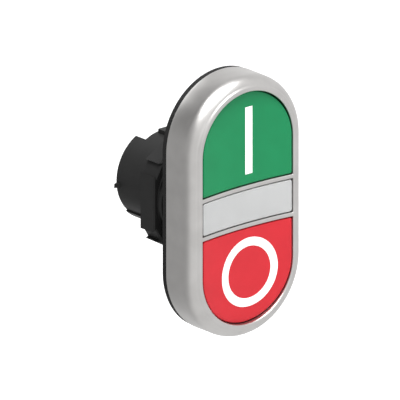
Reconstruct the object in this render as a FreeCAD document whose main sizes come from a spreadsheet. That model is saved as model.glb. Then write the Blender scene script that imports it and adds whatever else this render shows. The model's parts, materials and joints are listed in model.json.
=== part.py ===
import FreeCAD, Part
import math
import os
import Sketcher

# Twin push-button head for a 22 mm panel hole: a green start button over a red stop
# button, with an indicator lens between them, in one stadium-shaped bezel.
#
# Frame: origin where the barrel's axis meets the panel's front face, +Z up, +Y into the
# panel, so the buttons face -Y. "Forward" below is the distance in front of the panel,
# that is -Y; what lies behind the panel has a negative forward.

DIMENSIONS = {
    "bezel_width": 30.0,
    "bezel_length": 55.6,
    "bezel_front": 9.3,
    "shoulder_radius": 3.0,
    "crease_offset": 1.3,
    "crease_radius": 0.22,
    "lip_radius": 0.35,
    "opening_width": 24.0,
    "gasket_thickness": 1.15,
    "gasket_inset": 0.1,
    "floor_front": 2.8,
    "floor_width": 26.8,
    "fit_gap": 0.1,
    "cap_gap": 0.25,
    "cap_front": 9.1,
    "cap_rear": 6.2,
    "cap_wall": 1.3,
    "cap_ceiling": 6.8,
    "face_radius": 82.0,
    "face_centre": 8.25,
    "cap_bottom": 4.74,
    "symbol_height": 14.12,
    "symbol_offset": 0.95,
    "symbol_floor": 7.6,
    "bar_symbol_width": 1.85,
    "bar_symbol_length": 14.4,
    "ring_symbol_radius": 7.35,
    "ring_symbol_bore": 5.54,
    "lens_height": 6.88,
    "lens_gap": 0.22,
    "lens_rear": 6.9,
    "lens_corner": 0.5,
    "lens_hollow": 0.5,
    "rail_bottom": 3.64,
    "rail_top": 4.52,
    "rail_rear": 6.3,
    "rail_proud": 0.12,
    "platform_front": 6.3,
    "platform_width": 22.4,
    "platform_height": 6.6,
    "seal_width": 0.7,
    "thread_radius": 11.0,
    "thread_depth": 0.45,
    "thread_pitch": 1.5,
    "thread_start": 3.2,
    "thread_end": 9.5,
    "sleeve_radius": 9.55,
    "sleeve_bore": 8.4,
    "sleeve_end": 20.6,
    "web_rear": 1.0,
    "relief_depth": 0.55,
    "relief_width": 1.1,
    "notch_front": 17.6,
    "notch_angle": 54.0,
    "key_width": 3.0,
    "key_top": 10.3,
    "key_end": 17.0,
    "land_radius": 9.9,
    "land_angle": 90.0,
    "slot_width": 3.0,
    "slot_floor": 10.0,
    "lug_reach": 1.1,
    "lug_length": 1.2,
    "lug_height": 0.9,
    "lug_centre": 0.7,
    "plunger_height": 6.2,
    "plunger_radius": 1.2,
    "plunger_end": 17.6,
    "collar_radius": 2.0,
    "collar_front": 1.2,
    "collar_rear": 2.2,
    "yoke_width": 9.0,
    "yoke_top": 13.0,
    "wiper_radius": 2.1,
    "wiper_length": 1.4,
    "running_gap": 0.05,
    "guide_radius": 2.5,
    "guide_front": 6.8,
    "guide_end": 18.0,
    "insert_front": 12.0,
    "insert_rear": 15.0,
    "return_wire": 0.5,
    "return_radius": 1.7,
    "return_turns": 8.0,
    "balance_height": 16.0,
    "balance_wire": 0.4,
    "balance_radius": 1.9,
    "balance_turns": 3.0,
    "balance_seat": 1.9,
    "balance_pocket": 2.4,
    "pin_radius": 1.0,
    "pin_rear": 5.2,
    "washer_front": 3.0,
    "washer_rear": 4.0,
    "washer_radius": 12.6,
    "nut_across_flats": 26.5,
    "nut_rear": 9.1,
    "nut_seat_radius": 12.4,
    "nut_seat_height": 0.6,
    "nut_chamfer": 0.3,
    "nut_bore": 11.1,
    "nut_notch_width": 2.8,
    "nut_notch_radius": 13.8,
}

document = FreeCAD.newDocument("TwinButtonHead")
sheet = document.addObject("Spreadsheet::Sheet", "dims")
for row, (alias, value) in enumerate(DIMENSIONS.items(), start=1):
    sheet.set(f"A{row}", alias)
    sheet.set(f"B{row}", str(value))
    sheet.setAlias(f"B{row}", alias)
document.recompute()

BEZEL_HALF = "dims.bezel_width / 2"
ARC_CENTRE = "(dims.bezel_length - dims.bezel_width) / 2"
CAP_HALF = "dims.opening_width / 2 - dims.cap_gap"
RUNNING_BORE = "dims.plunger_radius + dims.running_gap"

LINE_START, LINE_END, ARC_MIDDLE = 1, 2, 3
HORIZONTAL_AXIS, VERTICAL_AXIS = -1, -2


def size(expression):
    """The number that an expression of the sheet's cells stands for."""
    return float(sheet.evalExpression(expression))


# ---------------------------------------------------------------- sketch outlines

def bind(sketch, index, expression):
    sketch.setExpression(f"Constraints[{index}]", expression)


def place_point(sketch, geometry, position, across, up):
    """Hold a point at (across, up) from the sketch's origin; "0" puts it on the axis."""
    for axis, kind, expression in (
        (VERTICAL_AXIS, "DistanceX", across),
        (HORIZONTAL_AXIS, "DistanceY", up),
    ):
        if expression == "0":
            sketch.addConstraint(Sketcher.Constraint("PointOnObject", geometry, position, axis))
            continue
        value = size(expression)
        rule = Sketcher.Constraint(kind, -1, LINE_START, geometry, position, value)
        bind(sketch, sketch.addConstraint(rule), expression)


def circle(radius, across="0", up="0"):
    def draw(sketch):
        middle = FreeCAD.Vector(size(across), size(up), 0)
        shape = Part.Circle(middle, FreeCAD.Vector(0, 0, 1), size(radius))
        index = sketch.addGeometry(shape)
        rule = sketch.addConstraint(Sketcher.Constraint("Radius", index, size(radius)))
        bind(sketch, rule, radius)
        place_point(sketch, index, ARC_MIDDLE, across, up)
    return draw


def polygon(corners):
    def draw(sketch):
        points = [FreeCAD.Vector(size(a), size(b), 0) for a, b in corners]
        count = len(points)
        sides = [
            sketch.addGeometry(Part.LineSegment(points[i], points[(i + 1) % count]))
            for i in range(count)
        ]
        for i, side in enumerate(sides):
            following = sides[(i + 1) % count]
            joint = Sketcher.Constraint("Coincident", side, LINE_END, following, LINE_START)
            sketch.addConstraint(joint)
            place_point(sketch, side, LINE_START, *corners[i])
    return draw


def rectangle(left, right, bottom, top):
    return polygon([(left, bottom), (right, bottom), (right, top), (left, top)])


def centred_rectangle(width, height, across="0", up="0"):
    half_width, half_height = f"({width}) / 2", f"({height}) / 2"
    return rectangle(f"{across} - {half_width}", f"{across} + {half_width}",
                     f"{up} - {half_height}", f"{up} + {half_height}")


def ring(radius, bore, across="0", up="0"):
    def draw(sketch):
        circle(radius, across, up)(sketch)
        circle(bore, across, up)(sketch)
    return draw


def upper_arc(sketch, radius, centre):
    """A half circle over the top, its ends at the left and right of its centre."""
    middle = FreeCAD.Vector(0, size(centre), 0)
    full = Part.Circle(middle, FreeCAD.Vector(0, 0, 1), size(radius))
    index = sketch.addGeometry(Part.ArcOfCircle(full, 0, math.pi))
    rule = sketch.addConstraint(Sketcher.Constraint("Radius", index, size(radius)))
    bind(sketch, rule, radius)
    place_point(sketch, index, ARC_MIDDLE, "0", centre)
    return index


def vertical_line(sketch, x, bottom, top):
    ends = FreeCAD.Vector(x, bottom, 0), FreeCAD.Vector(x, top, 0)
    index = sketch.addGeometry(Part.LineSegment(*ends))
    sketch.addConstraint(Sketcher.Constraint("Vertical", index))
    return index


def smooth(sketch, first, first_end, second, second_end):
    sketch.addConstraint(Sketcher.Constraint("Tangent", first, first_end, second, second_end))


def stadium(half_width, centre=ARC_CENTRE):
    """Two half circles joined by straight sides."""
    def draw(sketch):
        r, c = size(half_width), size(centre)
        top = upper_arc(sketch, half_width, centre)
        middle = FreeCAD.Vector(0, -c, 0)
        full = Part.Circle(middle, FreeCAD.Vector(0, 0, 1), r)
        bottom = sketch.addGeometry(Part.ArcOfCircle(full, math.pi, 2 * math.pi))
        right = vertical_line(sketch, r, -c, c)
        left = vertical_line(sketch, -r, -c, c)
        smooth(sketch, right, LINE_END, top, LINE_START)
        smooth(sketch, left, LINE_END, top, LINE_END)
        smooth(sketch, left, LINE_START, bottom, LINE_START)
        smooth(sketch, right, LINE_START, bottom, LINE_END)
        rule = Sketcher.Constraint("DistanceY", -1, LINE_START, bottom, ARC_MIDDLE, -c)
        bind(sketch, sketch.addConstraint(rule), f"-({centre})")
    return draw


def half_stadium(half_width, bottom, centre=ARC_CENTRE):
    """A straight bottom edge, straight sides and a half circle over the top."""
    def draw(sketch):
        r, low, c = size(half_width), size(bottom), size(centre)
        top = upper_arc(sketch, half_width, centre)
        right = vertical_line(sketch, r, low, c)
        left = vertical_line(sketch, -r, low, c)
        ends = FreeCAD.Vector(-r, low, 0), FreeCAD.Vector(r, low, 0)
        base = sketch.addGeometry(Part.LineSegment(*ends))
        sketch.addConstraint(Sketcher.Constraint("Horizontal", base))
        sketch.addConstraint(
            Sketcher.Constraint("Coincident", base, LINE_START, left, LINE_START)
        )
        sketch.addConstraint(
            Sketcher.Constraint("Coincident", base, LINE_END, right, LINE_START)
        )
        smooth(sketch, right, LINE_END, top, LINE_START)
        smooth(sketch, left, LINE_END, top, LINE_END)
        rule = Sketcher.Constraint("DistanceY", -1, LINE_START, base, LINE_START, low)
        bind(sketch, sketch.addConstraint(rule), bottom)
    return draw


# ------------------------------------------------------------------ body features

def new_body(label):
    body = document.addObject("PartDesign::Body", label)
    body.Label = label
    return body


def origin_part(body, role):
    return next(part for part in body.Origin.OriginFeatures if part.Role == role)


def sketch_on(body, role, name, draw, offset="0"):
    sketch = body.newObject("Sketcher::SketchObject", name)
    sketch.AttachmentSupport = (origin_part(body, role), [""])
    sketch.MapMode = "FlatFace"
    if offset != "0":
        sketch.setExpression("AttachmentOffset.Base.z", offset)
    draw(sketch)
    document.recompute()
    return sketch


def layer(body, name, draw, rear, front):
    """Material from one forward distance to another, over a frontal outline."""
    sketch = sketch_on(body, "XZ_Plane", name + "Sketch", draw, rear)
    pad = body.newObject("PartDesign::Pad", name)
    pad.Profile = sketch
    pad.setExpression("Length", f"({front}) - ({rear})")
    document.recompute()
    return pad


def volume(body):
    return body.Shape.Volume


def checked_cut(body, before, name):
    document.recompute()
    if volume(body) >= before - 1e-6:
        raise RuntimeError(f"{body.Label}: {name} cuts nothing")


def hollow(body, name, draw, start, end):
    """Take material away between two forward distances, over a frontal outline."""
    before = volume(body)
    sketch = sketch_on(body, "XZ_Plane", name + "Sketch", draw, start)
    pocket = body.newObject("PartDesign::Pocket", name)
    pocket.Profile = sketch
    pocket.Reversed = size(end) > size(start)
    pocket.setExpression("Length", f"abs(({end}) - ({start}))")
    checked_cut(body, before, name)
    return pocket


def cut_up_and_down(body, name, draw, height=None):
    """Cut a plan outline out of a body, through it or over a height about z = 0."""
    before = volume(body)
    sketch = sketch_on(body, "XY_Plane", name + "Sketch", draw)
    pocket = body.newObject("PartDesign::Pocket", name)
    pocket.Profile = sketch
    pocket.SideType = "Symmetric"
    if height is None:
        pocket.Type = "ThroughAll"
    else:
        pocket.setExpression("Length", height)
    checked_cut(body, before, name)
    return pocket


def sweep_about_axis(body, kind, name, draw, angle):
    """Revolve or groove an outline in the Y-Z plane about Y, half the angle each way."""
    sketch = sketch_on(body, "YZ_Plane", name + "Sketch", draw)
    feature = body.newObject(kind, name)
    feature.Profile = sketch
    feature.ReferenceAxis = (sketch, ["H_Axis"])
    feature.Midplane = True
    feature.setExpression("Angle", angle)
    document.recompute()
    return feature


def edges_where(feature, test):
    return [f"Edge{i}" for i, edge in enumerate(feature.Shape.Edges, 1) if test(edge)]


def fillet(body, name, base, test, radius):
    rounding = body.newObject("PartDesign::Fillet", name)
    rounding.Base = (base, edges_where(base, test))
    rounding.setExpression("Radius", radius)
    document.recompute()
    return rounding


def chamfer(body, name, base, test, width):
    bevel = body.newObject("PartDesign::Chamfer", name)
    bevel.Base = (base, edges_where(base, test))
    bevel.setExpression("Size", width)
    document.recompute()
    return bevel


def at_forward(edge, forward, slack=1e-4):
    return all(abs(-vertex.Y - forward) < slack for vertex in edge.Vertexes)


def concave_face(body, centre="dims.face_centre", height=None):
    """Hollow the front to a shallow cylinder about an upright axis."""
    axis = f"-({centre} + dims.face_radius)"
    cut_up_and_down(body, "ConcaveFace", circle("dims.face_radius", up=axis), height)


# --------------------------------------------------------------------- housing

def make_bezel():
    body = new_body("bezel")
    shell = layer(body, "Shell", stadium(BEZEL_HALF), "dims.gasket_thickness",
                  "dims.bezel_front")
    front = size("dims.bezel_front")
    fillet(body, "Shoulder", shell, lambda edge: at_forward(edge, front),
           "dims.shoulder_radius")
    hollow(body, "Opening", stadium("dims.opening_width / 2"),
           "dims.gasket_thickness", "dims.bezel_front")
    rebate = hollow(body, "Rebate", stadium("dims.floor_width / 2 + dims.fit_gap"),
                    "dims.gasket_thickness", "dims.floor_front")
    lip = size("dims.opening_width / 2")
    arc_centre = size(ARC_CENTRE)

    def on_lip(edge):
        vertex = edge.Vertexes[0]
        beyond = max(abs(vertex.Z) - arc_centre, 0)
        return at_forward(edge, front) and math.hypot(vertex.X, beyond) < lip + 1e-3

    fillet(body, "Lip", rebate, on_lip, "dims.lip_radius")
    make_crease(body)
    for name, low, high in (
        ("UpperRail", "dims.rail_bottom", "dims.rail_top"),
        ("LowerRail", "-dims.rail_top", "-dims.rail_bottom"),
    ):
        half = "(dims.opening_width / 2 + dims.fit_gap)"
        layer(body, name, rectangle(f"-{half}", half, low, high),
              "dims.rail_rear", "dims.bezel_front - dims.lip_radius")
    concave_face(body, "dims.face_centre + dims.rail_proud", "2 * dims.rail_top")
    return body


def make_crease(body):
    """A fine groove round the front, which sets the lip off from the shoulder."""
    before = volume(body)
    reach = "(dims.opening_width / 2 + dims.crease_offset)"
    depth = "(dims.bezel_front - 0.8 * dims.crease_radius)"
    path = sketch_on(body, "XZ_Plane", "CreasePath", stadium(reach), depth)
    section = sketch_on(body, "XY_Plane", "CreaseSection",
                        circle("dims.crease_radius", reach, f"-{depth}"))
    groove = body.newObject("PartDesign::SubtractivePipe", "Crease")
    groove.Profile = section
    groove.Spine = (path, [f"Edge{i}" for i in range(1, 5)])
    groove.Mode = "Frenet"
    checked_cut(body, before, "Crease")


def make_actuator_body():
    body = new_body("actuator_body")
    layer(body, "Floor", stadium("dims.floor_width / 2"),
          "dims.gasket_thickness", "dims.floor_front")
    layer(body, "Platform", centred_rectangle("dims.platform_width", "dims.platform_height"),
          "dims.gasket_thickness", "dims.platform_front")
    layer(body, "ThreadedBarrel", circle("dims.thread_radius"),
          "-dims.thread_end", "dims.gasket_thickness")
    layer(body, "Sleeve", circle("dims.sleeve_radius"),
          "-dims.sleeve_end", "-dims.thread_end")
    sweep_about_axis(body, "PartDesign::Revolution", "BottomLand",
                     rectangle("dims.thread_end", "dims.sleeve_end",
                               "-dims.land_radius", "-dims.sleeve_bore"),
                     "dims.land_angle")
    before = volume(body)
    sweep_about_axis(body, "PartDesign::Groove", "Relief",
                     rectangle("dims.thread_end", "dims.thread_end + dims.relief_width",
                               "dims.sleeve_radius - dims.relief_depth",
                               "dims.thread_radius"), "360")
    checked_cut(body, before, "Relief")
    before = volume(body)
    sweep_about_axis(body, "PartDesign::Groove", "TopNotch",
                     rectangle("dims.notch_front", "dims.sleeve_end + 1",
                               "dims.sleeve_bore - 1", "dims.sleeve_radius + 1"),
                     "dims.notch_angle")
    checked_cut(body, before, "TopNotch")
    layer(body, "TopKey",
          rectangle("-dims.key_width / 2", "dims.key_width / 2",
                    "dims.sleeve_bore + dims.fit_gap", "dims.key_top"),
          "-dims.key_end", "-(dims.thread_end + dims.relief_width)")
    cut_thread(body)
    hollow(body, "WasherSlot",
           rectangle("-dims.slot_width / 2", "dims.slot_width / 2",
                     "-dims.thread_radius - 1", "-dims.slot_floor"),
           "-dims.thread_end", "-dims.fit_gap")
    hollow(body, "Bore", circle("dims.sleeve_bore"), "-dims.sleeve_end", "-dims.web_rear")
    add_side_lug(body)
    hollow(body, "GuideHole", circle("dims.guide_radius + dims.running_gap"),
           "dims.platform_front", "-dims.web_rear - 1")
    for name, side in (("Start", ""), ("Stop", "-")):
        height = f"{side}dims.plunger_height"
        hollow(body, name + "PlungerHole", circle("dims.plunger_radius + dims.fit_gap", up=height),
               "dims.floor_front", "-dims.web_rear - 1")
        hollow(body, name + "SealSeat", circle("dims.wiper_radius", up=height),
               "-dims.web_rear", "dims.wiper_length - dims.web_rear")
        hollow(body, name + "SpringPocket",
               circle("dims.balance_pocket", up=f"{side}dims.balance_height"),
               "dims.floor_front", "dims.balance_seat")
    return body


def cut_thread(body):
    """Annular V grooves at the thread's pitch stand for the nut's thread."""
    before = volume(body)
    half = "0.4 * dims.thread_pitch"
    first = f"(dims.thread_start + {half})"
    outline = polygon([
        (f"{first} - {half}", "dims.thread_radius + dims.fit_gap"),
        (first, "dims.thread_radius - dims.thread_depth"),
        (f"{first} + {half}", "dims.thread_radius + dims.fit_gap"),
    ])
    groove = sweep_about_axis(body, "PartDesign::Groove", "ThreadGroove", outline, "360")
    pattern = body.newObject("PartDesign::LinearPattern", "Thread")
    pattern.Originals = [groove]
    pattern.Direction = (origin_part(body, "Y_Axis"), [""])
    threaded = size("dims.thread_end - dims.thread_start")
    pattern.Occurrences = int(threaded / size("dims.thread_pitch"))
    pattern.setExpression("Length", f"{pattern.Occurrences - 1} * dims.thread_pitch")
    body.Tip = pattern
    checked_cut(body, before, "Thread")


def add_side_lug(body):
    """A small pointed lug on the sleeve's rear rim, level with the axis."""
    root = "-dims.sleeve_radius + 2 * dims.fit_gap"
    outline = polygon([
        (root, "dims.sleeve_end"),
        ("-dims.sleeve_radius - dims.lug_reach", "dims.sleeve_end - dims.lug_length / 2"),
        (root, "dims.sleeve_end - dims.lug_length"),
    ])
    sketch = sketch_on(body, "XY_Plane", "SideLugSketch", outline, "-dims.lug_centre")
    pad = body.newObject("PartDesign::Pad", "SideLug")
    pad.Profile = sketch
    pad.SideType = "Symmetric"
    pad.setExpression("Length", "dims.lug_height")
    document.recompute()


def make_panel_gasket():
    body = new_body("panel_gasket")
    layer(body, "Sheet", stadium(f"{BEZEL_HALF} - dims.gasket_inset"),
          "0", "dims.gasket_thickness")
    hollow(body, "BarrelHole", circle("dims.thread_radius + dims.fit_gap"),
           "0", "dims.gasket_thickness")
    return body


# ------------------------------------------------------------- indicator in the middle

def make_indicator_lens():
    body = new_body("indicator_lens")
    block = layer(body, "Block",
                  centred_rectangle("dims.opening_width - 2 * dims.lens_gap",
                                    "dims.lens_height"),
                  "dims.lens_rear", "dims.bezel_front")

    def is_corner(edge):
        ends = [vertex.Point for vertex in edge.Vertexes]
        return abs(ends[0].y - ends[1].y) > 1

    fillet(body, "Corners", block, is_corner, "dims.lens_corner")
    inner_width = "dims.opening_width - 4 * dims.seal_width"
    inner_height = "dims.lens_height - 4 * dims.seal_width"
    hollow(body, "Underside", centred_rectangle(inner_width, inner_height),
           "dims.lens_rear", "dims.lens_rear + dims.lens_hollow")
    concave_face(body)
    return body


def make_lens_seal():
    body = new_body("lens_seal")
    layer(body, "Frame", centred_rectangle("dims.platform_width", "dims.platform_height"),
          "dims.platform_front", "dims.lens_rear")
    hollow(body, "Window",
           centred_rectangle("dims.platform_width - 2 * dims.seal_width",
                             "dims.platform_height - 2 * dims.seal_width"),
           "dims.platform_front", "dims.lens_rear")
    return body


def make_light_guide():
    body = new_body("light_guide")
    rod = layer(body, "Rod", circle("dims.guide_radius"), "-dims.guide_end", "dims.guide_front")
    end = size("-dims.guide_end")
    fillet(body, "RoundedEnd", rod, lambda edge: at_forward(edge, end), "2 * dims.fit_gap")
    return body


# --------------------------------------------------------------- the two buttons

def cap_blank(label):
    body = new_body(label)
    layer(body, "Blank", half_stadium(CAP_HALF, "dims.cap_bottom"),
          "dims.cap_rear", "dims.cap_front")
    hollow(body, "Underside",
           half_stadium(f"{CAP_HALF} - dims.cap_wall", "dims.cap_bottom + dims.cap_wall"),
           "dims.cap_rear", "dims.cap_ceiling")
    concave_face(body)
    layer(body, "LocatingPin", circle("dims.pin_radius", up="dims.balance_height"),
          "dims.pin_rear", "dims.cap_ceiling + dims.fit_gap")
    return body


def bar_symbol():
    return centred_rectangle("dims.bar_symbol_width", "dims.bar_symbol_length",
                             "dims.symbol_offset", "dims.symbol_height")


def ring_symbol():
    """Offset to the other side, because the stop button is a start button turned over."""
    return ring("dims.ring_symbol_radius", "dims.ring_symbol_bore",
                "-dims.symbol_offset", "dims.symbol_height")


def make_cap(label, symbol):
    body = cap_blank(label)
    hollow(body, "SymbolRecess", symbol, "dims.bezel_front", "dims.symbol_floor")
    return body


def make_symbol(label, symbol):
    """The white second shot of the cap's moulding, flush with its face."""
    body = new_body(label)
    layer(body, "Inlay", symbol, "dims.symbol_floor", "dims.bezel_front")
    concave_face(body)
    return body


def make_plunger(label):
    body = new_body(label)
    height = "dims.plunger_height"
    layer(body, "Rod", circle("dims.plunger_radius", up=height),
          "-dims.plunger_end", "dims.cap_rear")
    layer(body, "Collar", circle("dims.collar_radius", up=height),
          "-dims.collar_rear", "-dims.collar_front")
    layer(body, "Yoke",
          rectangle("-dims.yoke_width / 2", "dims.yoke_width / 2",
                    "dims.cap_bottom + dims.cap_wall", "dims.yoke_top"),
          "dims.cap_rear", "dims.cap_ceiling")
    return body


def make_wiper_seal(label):
    body = new_body(label)
    layer(body, "Ring", ring("dims.wiper_radius", RUNNING_BORE, up="dims.plunger_height"),
          "-dims.web_rear", "dims.wiper_length - dims.web_rear")
    return body


def make_spring(label, height, radius, wire, turns, front, rear):
    """A round-wire compression spring between two forward distances."""
    body = new_body(label)
    start = f"-({front}) + {wire} / 2"
    sketch = sketch_on(body, "XY_Plane", "WireSection",
                       circle(f"{wire} / 2", radius, start), height)
    coil = body.newObject("PartDesign::AdditiveHelix", "Coil")
    coil.Profile = sketch
    coil.ReferenceAxis = (sketch, ["V_Axis"])
    coil.Mode = "height-turns-angle"
    coil.setExpression("Height", f"({front}) - ({rear}) - {wire}")
    coil.setExpression("Turns", turns)
    document.recompute()
    return body


def make_return_spring(label):
    return make_spring(label, "dims.plunger_height", "dims.return_radius", "dims.return_wire",
                       "dims.return_turns", "-dims.collar_rear", "-dims.insert_front")


def make_balance_spring(label):
    return make_spring(label, "dims.balance_height", "dims.balance_radius",
                       "dims.balance_wire", "dims.balance_turns",
                       "dims.cap_ceiling", "dims.balance_seat")


# ------------------------------------------------------------ behind the panel

def make_plunger_guide():
    body = new_body("plunger_guide")
    front, rear = "-dims.insert_front", "-dims.insert_rear"
    layer(body, "Disc", circle("dims.sleeve_bore - dims.running_gap"), rear, front)
    hollow(body, "GuideHole", circle("dims.guide_radius + dims.running_gap"), front, rear)
    for name, side in (("Start", ""), ("Stop", "-")):
        hollow(body, name + "Hole", circle(RUNNING_BORE, up=f"{side}dims.plunger_height"),
               front, rear)
    return body


def make_lock_washer():
    """Keyed to the barrel's slot, so that turning the nut can't twist the head."""
    body = new_body("anti_rotation_washer")
    front, rear = "-dims.washer_front", "-dims.washer_rear"
    layer(body, "Disc", ring("dims.washer_radius", "dims.nut_bore"), rear, front)
    key_half = "(dims.slot_width / 2 - dims.fit_gap)"
    layer(body, "Key",
          rectangle(f"-{key_half}", key_half, "-dims.nut_bore - 3 * dims.fit_gap",
                    "-dims.slot_floor - 2 * dims.fit_gap"),
          rear, front)
    return body


def make_ring_nut():
    """A hexagon nut with two upright flats, notched corners and a round seat in front."""
    body = new_body("ring_nut")
    front, rear = "-dims.washer_rear", "-dims.nut_rear"
    corner = "(dims.nut_across_flats / sqrt(3))"
    half = "(dims.nut_across_flats / 2)"
    corners = [(half, f"{corner} / 2"), ("0", corner), (f"-{half}", f"{corner} / 2"),
               (f"-{half}", f"-{corner} / 2"), ("0", f"-{corner}"), (half, f"-{corner} / 2")]
    seat_rear = f"({front} - dims.nut_seat_height)"
    layer(body, "Hexagon", polygon(corners), rear, seat_rear)
    before = volume(body)
    notch_half = "(dims.nut_notch_width / 2)"
    notch = hollow(body, "Notch",
                   rectangle(f"-{notch_half}", notch_half, "dims.nut_notch_radius",
                             f"{corner} + 1"),
                   seat_rear, rear)
    pattern = body.newObject("PartDesign::PolarPattern", "Notches")
    pattern.Originals = [notch]
    pattern.Axis = (origin_part(body, "Y_Axis"), [""])
    pattern.Angle = 360
    pattern.Occurrences = 6
    body.Tip = pattern
    checked_cut(body, before, "Notches")
    rear_plane, seat_plane = size(rear), size(seat_rear)
    chamfer(body, "SoftEdges", pattern,
            lambda edge: at_forward(edge, rear_plane) or at_forward(edge, seat_plane),
            "dims.nut_chamfer")
    layer(body, "Seat", circle("dims.nut_seat_radius"), seat_rear, front)
    hollow(body, "Bore", circle("dims.nut_bore"), front, rear)
    return body


# -------------------------------------------------------------------- assembly

UPRIGHT = FreeCAD.Placement()
HALF_TURN = FreeCAD.Placement(
    FreeCAD.Vector(0, 0, 0), FreeCAD.Rotation(FreeCAD.Vector(0, 1, 0), 180)
)


def make_button_set(side, symbol, placement):
    """One button with all that belongs to it; the stop set is the start set turned over."""
    bodies = [
        make_cap(f"{side}_button_cap", symbol),
        make_symbol(f"{side}_symbol_inlay", symbol),
        make_plunger(f"{side}_plunger"),
        make_wiper_seal(f"{side}_plunger_seal"),
        make_return_spring(f"{side}_return_spring"),
        make_balance_spring(f"{side}_balance_spring"),
    ]
    for body in bodies:
        body.Placement = placement
    return bodies


subparts = [
    make_bezel(),
    make_actuator_body(),
    make_panel_gasket(),
    make_indicator_lens(),
    make_lens_seal(),
    make_light_guide(),
    make_plunger_guide(),
    make_lock_washer(),
    make_ring_nut(),
]
subparts += make_button_set("start", bar_symbol(), UPRIGHT)
subparts += make_button_set("stop", ring_symbol(), HALF_TURN)
document.recompute()

for item in document.Objects:
    if "Invalid" in item.State or "Error" in item.State:
        raise RuntimeError(f"{item.Label} failed: {item.State}")

os.makedirs("parts", exist_ok=True)
for body in subparts:
    shape = body.Shape
    if shape.isNull() or not shape.isValid() or not shape.Solids:
        raise RuntimeError(f"{body.Label} has no valid solid")
    box = shape.BoundBox
    print(f"{body.Label:22s} solids {len(shape.Solids)}  volume {shape.Volume:8.1f} mm3  "
          f"x {box.XMin:6.2f}..{box.XMax:6.2f}  y {box.YMin:6.2f}..{box.YMax:6.2f}  "
          f"z {box.ZMin:6.2f}..{box.ZMax:6.2f}")
    shape.exportStep(f"parts/{body.Label}.step")
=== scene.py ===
import json
import math

import bmesh
import bpy
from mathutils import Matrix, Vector


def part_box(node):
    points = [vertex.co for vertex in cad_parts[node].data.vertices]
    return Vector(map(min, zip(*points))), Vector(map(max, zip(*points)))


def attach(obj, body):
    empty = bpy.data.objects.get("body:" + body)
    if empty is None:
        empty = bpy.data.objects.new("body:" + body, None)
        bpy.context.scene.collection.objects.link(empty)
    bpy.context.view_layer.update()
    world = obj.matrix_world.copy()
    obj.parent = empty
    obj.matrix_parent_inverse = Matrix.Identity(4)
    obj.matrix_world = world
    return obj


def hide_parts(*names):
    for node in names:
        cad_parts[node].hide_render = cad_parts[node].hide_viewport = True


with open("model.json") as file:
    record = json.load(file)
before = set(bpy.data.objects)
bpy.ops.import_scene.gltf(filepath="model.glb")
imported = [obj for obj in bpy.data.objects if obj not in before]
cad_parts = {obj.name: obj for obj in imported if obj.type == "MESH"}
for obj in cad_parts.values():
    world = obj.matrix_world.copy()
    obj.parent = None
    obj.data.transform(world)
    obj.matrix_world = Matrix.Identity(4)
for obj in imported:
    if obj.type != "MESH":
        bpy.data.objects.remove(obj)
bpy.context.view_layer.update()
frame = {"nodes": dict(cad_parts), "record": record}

MM = 0.001

# ------------------------------------------------------- sizes read from the frame

BEZEL_LOW, BEZEL_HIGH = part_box("bezel")
CAP_LOW, CAP_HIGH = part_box("start_button_cap")
LENS_LOW, LENS_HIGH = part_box("indicator_lens")
BAR_LOW, BAR_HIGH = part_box("start_symbol_inlay")
RING_LOW, RING_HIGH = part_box("stop_symbol_inlay")

BEZEL_HALF = BEZEL_HIGH[0]
ARC_CENTRE = BEZEL_HIGH[2] - BEZEL_HALF
FRONT = BEZEL_LOW[1]
BEZEL_REAR = BEZEL_HIGH[1]
CAP_HALF = CAP_HIGH[0]
CAP_BOTTOM = CAP_LOW[2]
BEZEL_GAP = 0.25 * MM
LENS_GAP = 0.20 * MM
RAIL_GAP = 0.22 * MM
OPENING_HALF = CAP_HALF + BEZEL_GAP
RAIL_LOW = LENS_HIGH[2] + LENS_GAP
RAIL_HIGH = CAP_BOTTOM - RAIL_GAP
FACE_RADIUS = 82 * MM
FACE_CENTRE = -8.25 * MM
CAP_REAR = -6.2 * MM
RAIL_REAR = -6.3 * MM
RAIL_PROUD = 0.09 * MM
SHOULDER = 3 * MM
CAP_CORNER = 0.45 * MM
CAP_EDGE_ROUND = 0.22 * MM
LENS_CORNER = 0.5 * MM
LENS_EDGE_ROUND = 0.2 * MM


def face_y(x, proud=0.0):
    """The hollow front face: a shallow cylinder about an upright axis."""
    sag = FACE_RADIUS - math.sqrt(FACE_RADIUS ** 2 - x * x)
    return FACE_CENTRE - proud - sag


# ------------------------------------------------------------------------ materials

MOTTLE_START, MOTTLE_END = 0.3, 0.7
PLASTIC_IOR = 1.5


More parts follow.
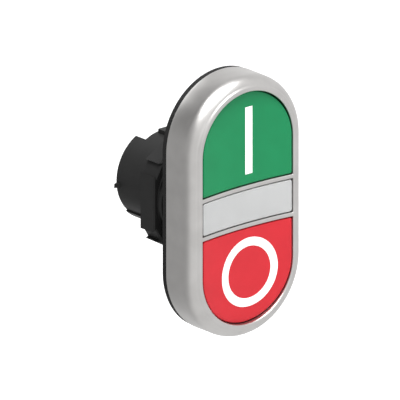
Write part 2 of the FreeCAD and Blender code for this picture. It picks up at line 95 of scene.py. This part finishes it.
class Nodes:
    """A short way to build a procedural material on its Principled shader."""

    def __init__(self, name, **constants):
        self.material = bpy.data.materials.new(name)
        self.material.use_nodes = True
        self.tree = self.material.node_tree
        self.shader = self.tree.nodes["Principled BSDF"]
        self.coordinates = self.tree.nodes.new("ShaderNodeTexCoord").outputs["Object"]
        for socket, value in constants.items():
            self.shader.inputs[socket.replace("_", " ")].default_value = value

    def add(self, kind, **settings):
        node = self.tree.nodes.new("ShaderNode" + kind)
        for key, value in settings.items():
            if key in node.bl_rna.properties:
                setattr(node, key, value)
            else:
                node.inputs[key.replace("_", " ")].default_value = value
        return node

    def link(self, output, target):
        self.tree.links.new(output, target)

    def stretched(self, scale):
        mapping = self.add("Mapping", Scale=scale)
        self.link(self.coordinates, mapping.inputs["Vector"])
        return mapping.outputs["Vector"]

    def noise(self, scale, detail=3.0, stretch=(1, 1, 1)):
        noise = self.add("TexNoise", Scale=scale, Detail=detail)
        self.link(self.stretched(stretch), noise.inputs["Vector"])
        return noise.outputs["Fac"]

    def ramp(self, source, low, high):
        ramp = self.add("ValToRGB")
        ramp.color_ramp.elements[0].position = MOTTLE_START
        ramp.color_ramp.elements[1].position = MOTTLE_END
        ramp.color_ramp.elements[0].color = (*low, 1)
        ramp.color_ramp.elements[1].color = (*high, 1)
        self.link(source, ramp.inputs["Fac"])
        return ramp.outputs["Color"]

    def vary(self, source, low, high, socket):
        span = self.add("MapRange", To_Min=low, To_Max=high)
        self.link(source, span.inputs["Value"])
        self.link(span.outputs["Result"], self.shader.inputs[socket])

    def bump(self, source, depth, strength):
        bump = self.add("Bump", Strength=strength, Distance=depth)
        self.link(source, bump.inputs["Height"])
        self.link(bump.outputs["Normal"], self.shader.inputs["Normal"])

    def colour(self, source, low, high):
        self.link(self.ramp(source, low, high), self.shader.inputs["Base Color"])


def grey(value, warm=0.0):
    return value * (1 + warm), value, value * (1 - warm)


def tint(colour, factor):
    return tuple(channel * factor for channel in colour)


def satin_chrome():
    m = Nodes("satin_chrome", Metallic=1.0)
    m.colour(m.noise(260, 4), grey(0.58, 0.02), grey(0.64, 0.02))
    m.vary(m.noise(900, 2), 0.30, 0.36, "Roughness")
    m.bump(m.noise(2600, 2), 0.004 * MM, 0.3)
    return m.material


def moulded(name, colour, roughness, grain=0.004, gloss=0.2):
    """Moulded plastic: slight mottling, and a fine grain that is grain mm deep."""
    m = Nodes(name, IOR=PLASTIC_IOR)
    m.shader.inputs["Specular IOR Level"].default_value = gloss
    m.colour(m.noise(220, 4), tint(colour, 0.96), tint(colour, 1.04))
    m.vary(m.noise(700, 3), roughness - 0.03, roughness + 0.03, "Roughness")
    m.bump(m.noise(3200, 2), grain * MM, 0.5)
    return m.material


def translucent_lens():
    m = Nodes("lens_plastic", IOR=PLASTIC_IOR)
    m.shader.inputs["Transmission Weight"].default_value = 0.12
    m.colour(m.noise(160, 3), (0.435, 0.44, 0.44), (0.465, 0.47, 0.47))
    m.vary(m.noise(500, 3), 0.42, 0.48, "Roughness")
    m.bump(m.noise(3000, 2), 0.003 * MM, 0.4)
    return m.material


def clear_acrylic():
    m = Nodes("clear_acrylic", IOR=1.49)
    m.shader.inputs["Transmission Weight"].default_value = 0.8
    m.colour(m.noise(120, 2), (0.82, 0.86, 0.87), (0.88, 0.91, 0.92))
    m.vary(m.noise(600, 3), 0.06, 0.12, "Roughness")
    return m.material


def drawn_steel(name, value):
    m = Nodes(name, Metallic=1.0)
    m.colour(m.noise(300, 4), grey(value * 0.94), grey(value * 1.06))
    m.vary(m.noise(1500, 3, (1, 6, 1)), 0.24, 0.34, "Roughness")
    m.bump(m.noise(2400, 2, (1, 8, 1)), 0.003 * MM, 0.4)
    return m.material


MATERIALS = {
    "satin_chrome": satin_chrome(),
    "black_nylon": moulded("black_nylon", grey(0.015), 0.42, grain=0.010, gloss=0.13),
    "grey_nylon": moulded("grey_nylon", grey(0.10), 0.45),
    "black_rubber": moulded("black_rubber", grey(0.012), 0.62, grain=0.012, gloss=0.12),
    "green_plastic": moulded("green_plastic", (0.007, 0.192, 0.070), 0.42),
    "red_plastic": moulded("red_plastic", (0.50, 0.019, 0.028), 0.42),
    "white_plastic": moulded("white_plastic", (0.90, 0.90, 0.895), 0.42),
    "lens_plastic": translucent_lens(),
    "clear_acrylic": clear_acrylic(),
    "white_acetal": moulded("white_acetal", (0.80, 0.80, 0.77), 0.36),
    "blackened_steel": drawn_steel("blackened_steel", 0.05),
    "spring_steel": drawn_steel("spring_steel", 0.55),
}


# ----------------------------------------------------------------------- mesh pieces

def finish_piece(name, mesh, material, body, replaced, sharp_angle=50):
    """A piece of a mesh: shaded smooth below the sharp angle, riding on its body."""
    mesh.materials.append(MATERIALS[material])
    mesh.polygons.foreach_set("use_smooth", [True] * len(mesh.polygons))
    mesh.set_sharp_from_angle(angle=math.radians(sharp_angle))
    piece = bpy.data.objects.new(name, mesh)
    bpy.context.scene.collection.objects.link(piece)
    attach(piece, body)
    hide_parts(replaced)


MERGE_DISTANCE = 1e-7


def mesh_from(name, build):
    """A mesh that build fills, with its normals turned outwards."""
    shape = bmesh.new()
    build(shape)
    bmesh.ops.remove_doubles(shape, verts=shape.verts, dist=MERGE_DISTANCE)
    bmesh.ops.recalc_face_normals(shape, faces=shape.faces)
    mesh = bpy.data.meshes.new(name)
    shape.to_mesh(mesh)
    shape.free()
    return mesh


def bridge(shape, loops, closed_rows=False):
    """Quads between loops of equal length, each loop closed on itself."""
    rows = [[shape.verts.new(point) for point in loop] for loop in loops]
    pairs = list(zip(rows, rows[1:])) + ([(rows[-1], rows[0])] if closed_rows else [])
    for low, high in pairs:
        for i in range(len(low)):
            j = (i + 1) % len(low)
            shape.faces.new((low[i], low[j], high[j], high[i]))
    return rows


ARC_STEPS = 64
SIDE_STEPS = 16
CORNER_STEPS = 6
SHOULDER_STEPS = 28
CREASE_STEPS = 14


def stadium_directions():
    """Each station round a stadium: (arc centre's sign and share, angle)."""
    stations = []
    for i in range(ARC_STEPS):
        stations.append((1.0, math.pi * i / ARC_STEPS))
    for i in range(SIDE_STEPS):
        stations.append((1 - 2 * i / SIDE_STEPS, math.pi))
    for i in range(ARC_STEPS):
        stations.append((-1.0, math.pi + math.pi * i / ARC_STEPS))
    for i in range(SIDE_STEPS):
        stations.append((-1 + 2 * i / SIDE_STEPS, 2 * math.pi))
    return stations


def stadium_loop(radius, y):
    return [
        Vector((radius * math.cos(a), y, share * ARC_CENTRE + radius * math.sin(a)))
        for share, a in stadium_directions()
    ]


def arc(centre, radius, start, end, steps):
    """Profile points (radius from the outline's axis, y) on an arc, angles in degrees."""
    for i in range(steps + 1):
        a = math.radians(start + (end - start) * i / steps)
        yield centre[0] + radius * math.cos(a), centre[1] + radius * math.sin(a)


CREASE = 1.3 * MM
CREASE_HALF_WIDTH = 0.42 * MM
CREASE_DIP = 0.17 * MM
LIP_ROUND = 0.35 * MM
EDGE_ROUND = 0.15 * MM
BEZEL_WALL = 1.5 * MM
LIP_REAR = -2.9 * MM
HOLLOW_FRONT = -2.85 * MM
BEZEL_SHARP_ANGLE = 28
RAIL_SHARP_ANGLE = 40
RAIL_EDGE_ROUND = 0.18 * MM
RAIL_OVERLAP = 0.3 * MM
RAIL_STEPS = 48


def bezel_profile():
    """From the rear outer edge round the shoulder, soft crease and lip to the opening."""
    outer, inner = BEZEL_HALF, OPENING_HALF
    hub = (outer - SHOULDER, FRONT + SHOULDER)
    crease_end = inner + CREASE - CREASE_HALF_WIDTH
    crease_start = inner + CREASE + CREASE_HALF_WIDTH
    reach = math.degrees(math.acos((crease_start - hub[0]) / SHOULDER))
    edge = (outer - EDGE_ROUND, BEZEL_REAR - EDGE_ROUND)
    points = list(arc(edge, EDGE_ROUND, 90, 0, 3))
    points += list(arc(hub, SHOULDER, 0, -reach, SHOULDER_STEPS))
    for i in range(1, CREASE_STEPS + 1):
        t = 1 - i / CREASE_STEPS
        r = crease_end + (crease_start - crease_end) * t
        shoulder = hub[1] - math.sqrt(SHOULDER ** 2 - (r - hub[0]) ** 2)
        ease = t * t * (3 - 2 * t)
        dip = CREASE_DIP * math.sin(math.pi * t) ** 2
        points.append((r, FRONT + (shoulder - FRONT) * ease + dip))
    points += list(arc((inner + LIP_ROUND, FRONT + LIP_ROUND), LIP_ROUND, -90, -180, 8))
    points += [(inner, LIP_REAR), (outer - BEZEL_WALL, HOLLOW_FRONT),
               (outer - BEZEL_WALL, BEZEL_REAR)]
    return points


def make_bezel():
    loops = [stadium_loop(r, y) for r, y in bezel_profile()]
    mesh = mesh_from("bezel_ring", lambda shape: bridge(shape, loops, closed_rows=True))
    finish_piece("bezel_ring", mesh, "satin_chrome", "housing", "bezel", BEZEL_SHARP_ANGLE)
    for name, side in (("upper_rail", 1), ("lower_rail", -1)):
        rail = rail_mesh(name, side)
        finish_piece(name, rail, "satin_chrome", "housing", "bezel", RAIL_SHARP_ANGLE)


def rail_mesh(name, side):
    """A rail across the opening, its front hollow like the caps and its edges round."""
    half_height = (RAIL_HIGH - RAIL_LOW) / 2
    middle = side * (RAIL_HIGH + RAIL_LOW) / 2
    soft = RAIL_EDGE_ROUND
    across = OPENING_HALF + RAIL_OVERLAP

    def build(shape):
        loops = []
        for i in range(RAIL_STEPS + 1):
            x = -across + 2 * across * i / RAIL_STEPS
            y = face_y(x, RAIL_PROUD)
            section = [(RAIL_REAR, -half_height), (y + soft, -half_height)]
            section += [(y + soft * (1 - math.sin(a)), -half_height + soft * (1 - math.cos(a)))
                        for a in (math.radians(t) for t in (22, 45, 68, 90))]
            section += [(y + soft * (1 - math.cos(a)), half_height - soft * (1 - math.sin(a)))
                        for a in (math.radians(t) for t in (0, 22, 45, 68))]
            section += [(y + soft, half_height), (RAIL_REAR, half_height)]
            loops.append([Vector((x, sy, middle + sz)) for sy, sz in section])
        rows = bridge(shape, loops)
        shape.faces.new(rows[0])
        shape.faces.new(rows[-1])

    return mesh_from(name, build)


# ------------------------------------------------------------------ outlines of caps

MIN_CORNER = 0.02 * MM


def corner_arc(x, z, radius, start):
    """Points on a quarter turn about a corner's centre, from a start angle in degrees."""
    for i in range(CORNER_STEPS + 1):
        a = math.radians(start + 90 * i / CORNER_STEPS)
        yield x + radius * math.cos(a), z + radius * math.sin(a)


def rounded_half_stadium(half, bottom, inset, corner):
    """A cap's outline, drawn inside the nominal one by inset, corners rounded."""
    r = half - inset
    low = bottom + inset
    corner = max(corner - inset, MIN_CORNER)
    points = []
    for i in range(ARC_STEPS + 1):
        a = math.pi * i / ARC_STEPS
        points.append((r * math.cos(a), ARC_CENTRE + r * math.sin(a)))
    for i in range(1, SIDE_STEPS):
        points.append((-r, ARC_CENTRE + (low + corner - ARC_CENTRE) * i / SIDE_STEPS))
    points += corner_arc(-r + corner, low + corner, corner, 180)
    for i in range(1, 2 * SIDE_STEPS):
        points.append((-r + corner + 2 * (r - corner) * i / (2 * SIDE_STEPS), low))
    points += corner_arc(r - corner, low + corner, corner, 270)
    for i in range(1, SIDE_STEPS):
        points.append((r, low + corner + (ARC_CENTRE - low - corner) * i / SIDE_STEPS))
    return points


def rounded_rectangle(half_width, half_height, inset, corner):
    """A rectangle's outline, drawn inside the nominal one by inset, corners rounded."""
    w, h = half_width - inset, half_height - inset
    corner = max(corner - inset, MIN_CORNER)
    points = []
    for sx, sz, start in ((1, 1, 0), (-1, 1, 90), (-1, -1, 180), (1, -1, 270)):
        points += corner_arc(sx * (w - corner), sz * (h - corner), corner, start)
        if sx == sz:
            for i in range(1, 2 * SIDE_STEPS):
                t = i / (2 * SIDE_STEPS)
                points.append((sx * (w - corner) * (1 - 2 * t), sz * h))
    return points


EDGE_ANGLES = (0, 18, 36, 54, 72, 90)
FACE_SHARES = (0.97, 0.9, 0.8, 0.68, 0.55, 0.42, 0.3, 0.18, 0.08)


def hollow_faced_block(outline, rear, centre_z, soft, turned=False):
    """A block with a rounded front edge and a hollow front; outline(inset) gives points.

    The front is filled with shrinking copies of the outline, so that it stays smooth.
    """
    sign = -1 if turned else 1

    def place(x, y, z):
        return Vector((sign * x, y, sign * z))

    def build(shape):
        edge = outline(0.0)
        loops = [[place(x, rear, z) for x, z in edge]]
        for angle in EDGE_ANGLES:
            a = math.radians(angle)
            inset, drop = soft * (1 - math.cos(a)), soft * (1 - math.sin(a))
            loops.append([place(x, face_y(x) + drop, z) for x, z in outline(inset)])
        inner = outline(soft)
        for share in FACE_SHARES:
            ring = []
            for x, z in inner:
                px, pz = x * share, centre_z + (z - centre_z) * share
                ring.append(place(px, face_y(px), pz))
            loops.append(ring)
        rows = bridge(shape, loops)
        hub = shape.verts.new(place(0, face_y(0), centre_z))
        last = rows[-1]
        for i in range(len(last)):
            shape.faces.new((last[i], last[(i + 1) % len(last)], hub))
        shape.faces.new(list(reversed(rows[0])))

    return build


CAP_MIDDLE = (CAP_BOTTOM + ARC_CENTRE) / 2 + 2 * MM


def make_cap(side, material, turned):
    def outline(inset):
        return rounded_half_stadium(CAP_HALF, CAP_BOTTOM, inset, CAP_CORNER)

    build = hollow_faced_block(outline, CAP_REAR, CAP_MIDDLE, CAP_EDGE_ROUND, turned)
    name = f"{side}_cap"
    mesh = mesh_from(name, build)
    finish_piece(name, mesh, material, f"{side}_button", f"{side}_button_cap")


def make_lens():
    def outline(inset):
        return rounded_rectangle(LENS_HIGH[0], LENS_HIGH[2], inset, LENS_CORNER)

    build = hollow_faced_block(outline, LENS_HIGH[1], 0.0, LENS_EDGE_ROUND)
    finish_piece("lens", mesh_from("lens", build), "lens_plastic", "housing", "indicator_lens")


# ----------------------------------------------------------------------- the symbols

SYMBOL_PROUD = 0.03 * MM
SYMBOL_SINK = 0.25 * MM
SYMBOL_EDGE = 0.02 * MM
BAR_STEPS = 8
RING_BAND = 1.81 * MM
RING_BAND_STEPS = 10
RING_STEPS = 160


def strip_build(sections):
    """A closed band through sections of points, its ends capped."""
    def build(shape):
        rows = bridge(shape, sections)
        shape.faces.new(rows[0])
        shape.faces.new(rows[-1])
    return build


def make_bar_symbol():
    low, high, soft = BAR_LOW, BAR_HIGH, SYMBOL_EDGE
    sections = []
    for z, inset in ((low[2], soft), (low[2] + soft, 0), (high[2] - soft, 0), (high[2], soft)):
        width = high[0] - low[0] - 2 * inset
        xs = [low[0] + inset + width * i / BAR_STEPS for i in range(BAR_STEPS + 1)]
        proud = SYMBOL_PROUD if inset == 0 else 0
        front = [Vector((x, face_y(x, proud), z)) for x in xs]
        back = [Vector((x, face_y(x) + SYMBOL_SINK, z)) for x in reversed(xs)]
        sections.append(front + back)
    mesh = mesh_from("bar_symbol", strip_build(sections))
    finish_piece("bar_symbol", mesh, "white_plastic", "start_button", "start_symbol_inlay")


def make_ring_symbol():
    outer = (RING_HIGH[0] - RING_LOW[0]) / 2
    inner = outer - RING_BAND
    centre_x = (RING_LOW[0] + RING_HIGH[0]) / 2
    centre_z = -(BAR_LOW[2] + BAR_HIGH[2]) / 2
    soft = SYMBOL_EDGE
    section = [(inner, 0)] + [
        (inner + soft + (outer - inner - 2 * soft) * i / RING_BAND_STEPS, SYMBOL_PROUD)
        for i in range(RING_BAND_STEPS + 1)
    ] + [(outer, 0), (outer, -SYMBOL_SINK), (inner, -SYMBOL_SINK)]

    def build(shape):
        loops = []
        for r, proud in section:
            ring = []
            for i in range(RING_STEPS):
                a = 2 * math.pi * i / RING_STEPS
                x, z = centre_x + r * math.cos(a), centre_z + r * math.sin(a)
                ring.append(Vector((x, face_y(x, proud), z)))
            loops.append(ring)
        bridge(shape, loops, closed_rows=True)

    mesh = mesh_from("ring_symbol", build)
    finish_piece("ring_symbol", mesh, "white_plastic", "stop_button", "stop_symbol_inlay")


# ------------------------------------------------------- the CAD nodes that are shown

def finish_cad_nodes():
    for part in frame["record"]["subparts"]:
        node = frame["nodes"][part["node"]]
        node.data.materials.clear()
        node.data.materials.append(MATERIALS[part["material_slot"]])


# ------------------------------------------------------------------ stage and camera

FLOOR_SIZE, FLOOR_DROP = 3.0, 0.16
FLOOR_GLOW = 0.35


def make_floor():
    size, drop = FLOOR_SIZE, FLOOR_DROP
    mesh = bpy.data.meshes.new("floor")
    corners = [(-size, -size, -drop), (size, -size, -drop), (size, size, -drop),
               (-size, size, -drop)]
    mesh.from_pydata(corners, [], [(0, 1, 2, 3)])
    m = Nodes("floor", Roughness=0.9)
    m.colour(m.noise(3, 2), grey(0.86), grey(0.88))
    m.shader.inputs["Emission Color"].default_value = (1, 1, 1, 1)
    m.shader.inputs["Emission Strength"].default_value = FLOOR_GLOW
    mesh.materials.append(m.material)
    floor = bpy.data.objects.new("floor", mesh)
    bpy.context.scene.collection.objects.link(floor)
    floor.visible_glossy = False


def area_light(name, direction, distance, size, power):
    """A soft box that looks at the object from a direction."""
    data = bpy.data.lights.new(name, "AREA")
    data.shape = "RECTANGLE"
    data.size, data.size_y = size
    data.energy = power
    lamp = bpy.data.objects.new(name, data)
    place = Vector(direction).normalized() * distance
    lamp.location = place
    lamp.rotation_mode = "QUATERNION"
    lamp.rotation_quaternion = place.to_track_quat("Z", "Y")
    bpy.context.scene.collection.objects.link(lamp)


def wall_patch(tree, towards, start, end, near, far):
    """A soft patch of the studio's wall: far from the direction one level, near it another."""
    direction = tree.nodes.new("ShaderNodeTexCoord").outputs["Generated"]
    facing = tree.nodes.new("ShaderNodeVectorMath")
    facing.operation = "DOT_PRODUCT"
    facing.inputs[1].default_value = Vector(towards).normalized()
    ramp = tree.nodes.new("ShaderNodeValToRGB")
    ramp.color_ramp.interpolation = "EASE"
    ramp.color_ramp.elements[0].position = start
    ramp.color_ramp.elements[0].color = (*grey(far), 1)
    ramp.color_ramp.elements[1].position = end
    ramp.color_ramp.elements[1].color = (*grey(near), 1)
    tree.links.new(direction, facing.inputs[0])
    tree.links.new(facing.outputs["Value"], ramp.inputs["Fac"])
    return ramp.outputs["Color"]


BRIGHT_WALL, DARK_WALL, DARK_CORNER, DIM_CEILING = 0.86, 0.44, 0.45, 0.62
WALL = ((-0.65, 0.75, 0.1), 0.05, 0.75, DARK_WALL, BRIGHT_WALL)
CORNER = ((-0.35, 0.68, 0.65), 0.72, 0.98, DARK_CORNER, 1.0)
CEILING = ((0.3, 0.1, 0.95), 0.70, 0.97, DIM_CEILING, 1.0)


def make_world():
    """A studio: bright all round, darker behind the object on its left, a dim ceiling."""
    world = bpy.data.worlds.new("studio")
    world.use_nodes = True
    tree = world.node_tree
    level = wall_patch(tree, *WALL)
    for patch in (wall_patch(tree, *CORNER), wall_patch(tree, *CEILING)):
        product = tree.nodes.new("ShaderNodeVectorMath")
        product.operation = "MULTIPLY"
        tree.links.new(level, product.inputs[0])
        tree.links.new(patch, product.inputs[1])
        level = product.outputs["Vector"]
    tree.links.new(level, tree.nodes["Background"].inputs["Color"])
    bpy.context.scene.world = world
    bpy.context.scene.view_settings.view_transform = "Standard"


def make_lights():
    area_light("key", (-0.18, -0.24, 0.95), 0.40, (0.34, 0.24), 3.45)
    area_light("front", (0.1, -1.0, 0.25), 0.60, (0.5, 0.5), 0.2)
    area_light("back", (0.1, 1.0, 0.25), 0.60, (0.3, 0.3), 1.2)


AZIMUTH, ELEVATION = math.radians(40.6), math.radians(19.6)
VIEW_WIDTH = 80.8081 * MM
AIM_LEFT, AIM_DOWN = 3.7576 * MM, 0.6970 * MM
CAMERA_DISTANCE = 0.4


def make_camera():
    """Orthographic, left of the front and above, aimed a little left of the origin."""
    data = bpy.data.cameras.new("camera")
    data.type = "ORTHO"
    data.ortho_scale = VIEW_WIDTH
    data.clip_start, data.clip_end = 0.01, 10
    right = Vector((math.cos(AZIMUTH), -math.sin(AZIMUTH), 0))
    back = Vector((-math.sin(AZIMUTH) * math.cos(ELEVATION),
                   -math.cos(AZIMUTH) * math.cos(ELEVATION), math.sin(ELEVATION)))
    up = back.cross(right)
    aim = -(right * AIM_LEFT + up * AIM_DOWN)
    camera = bpy.data.objects.new("camera", data)
    camera.location = aim + back * CAMERA_DISTANCE
    camera.rotation_mode = "QUATERNION"
    camera.rotation_quaternion = back.to_track_quat("Z", "Y")
    bpy.context.scene.collection.objects.link(camera)
    bpy.context.scene.camera = camera


finish_cad_nodes()
make_bezel()
make_cap("start", "green_plastic", False)
make_cap("stop", "red_plastic", True)
make_lens()
make_bar_symbol()
make_ring_symbol()
make_floor()
make_world()
make_lights()
make_camera()
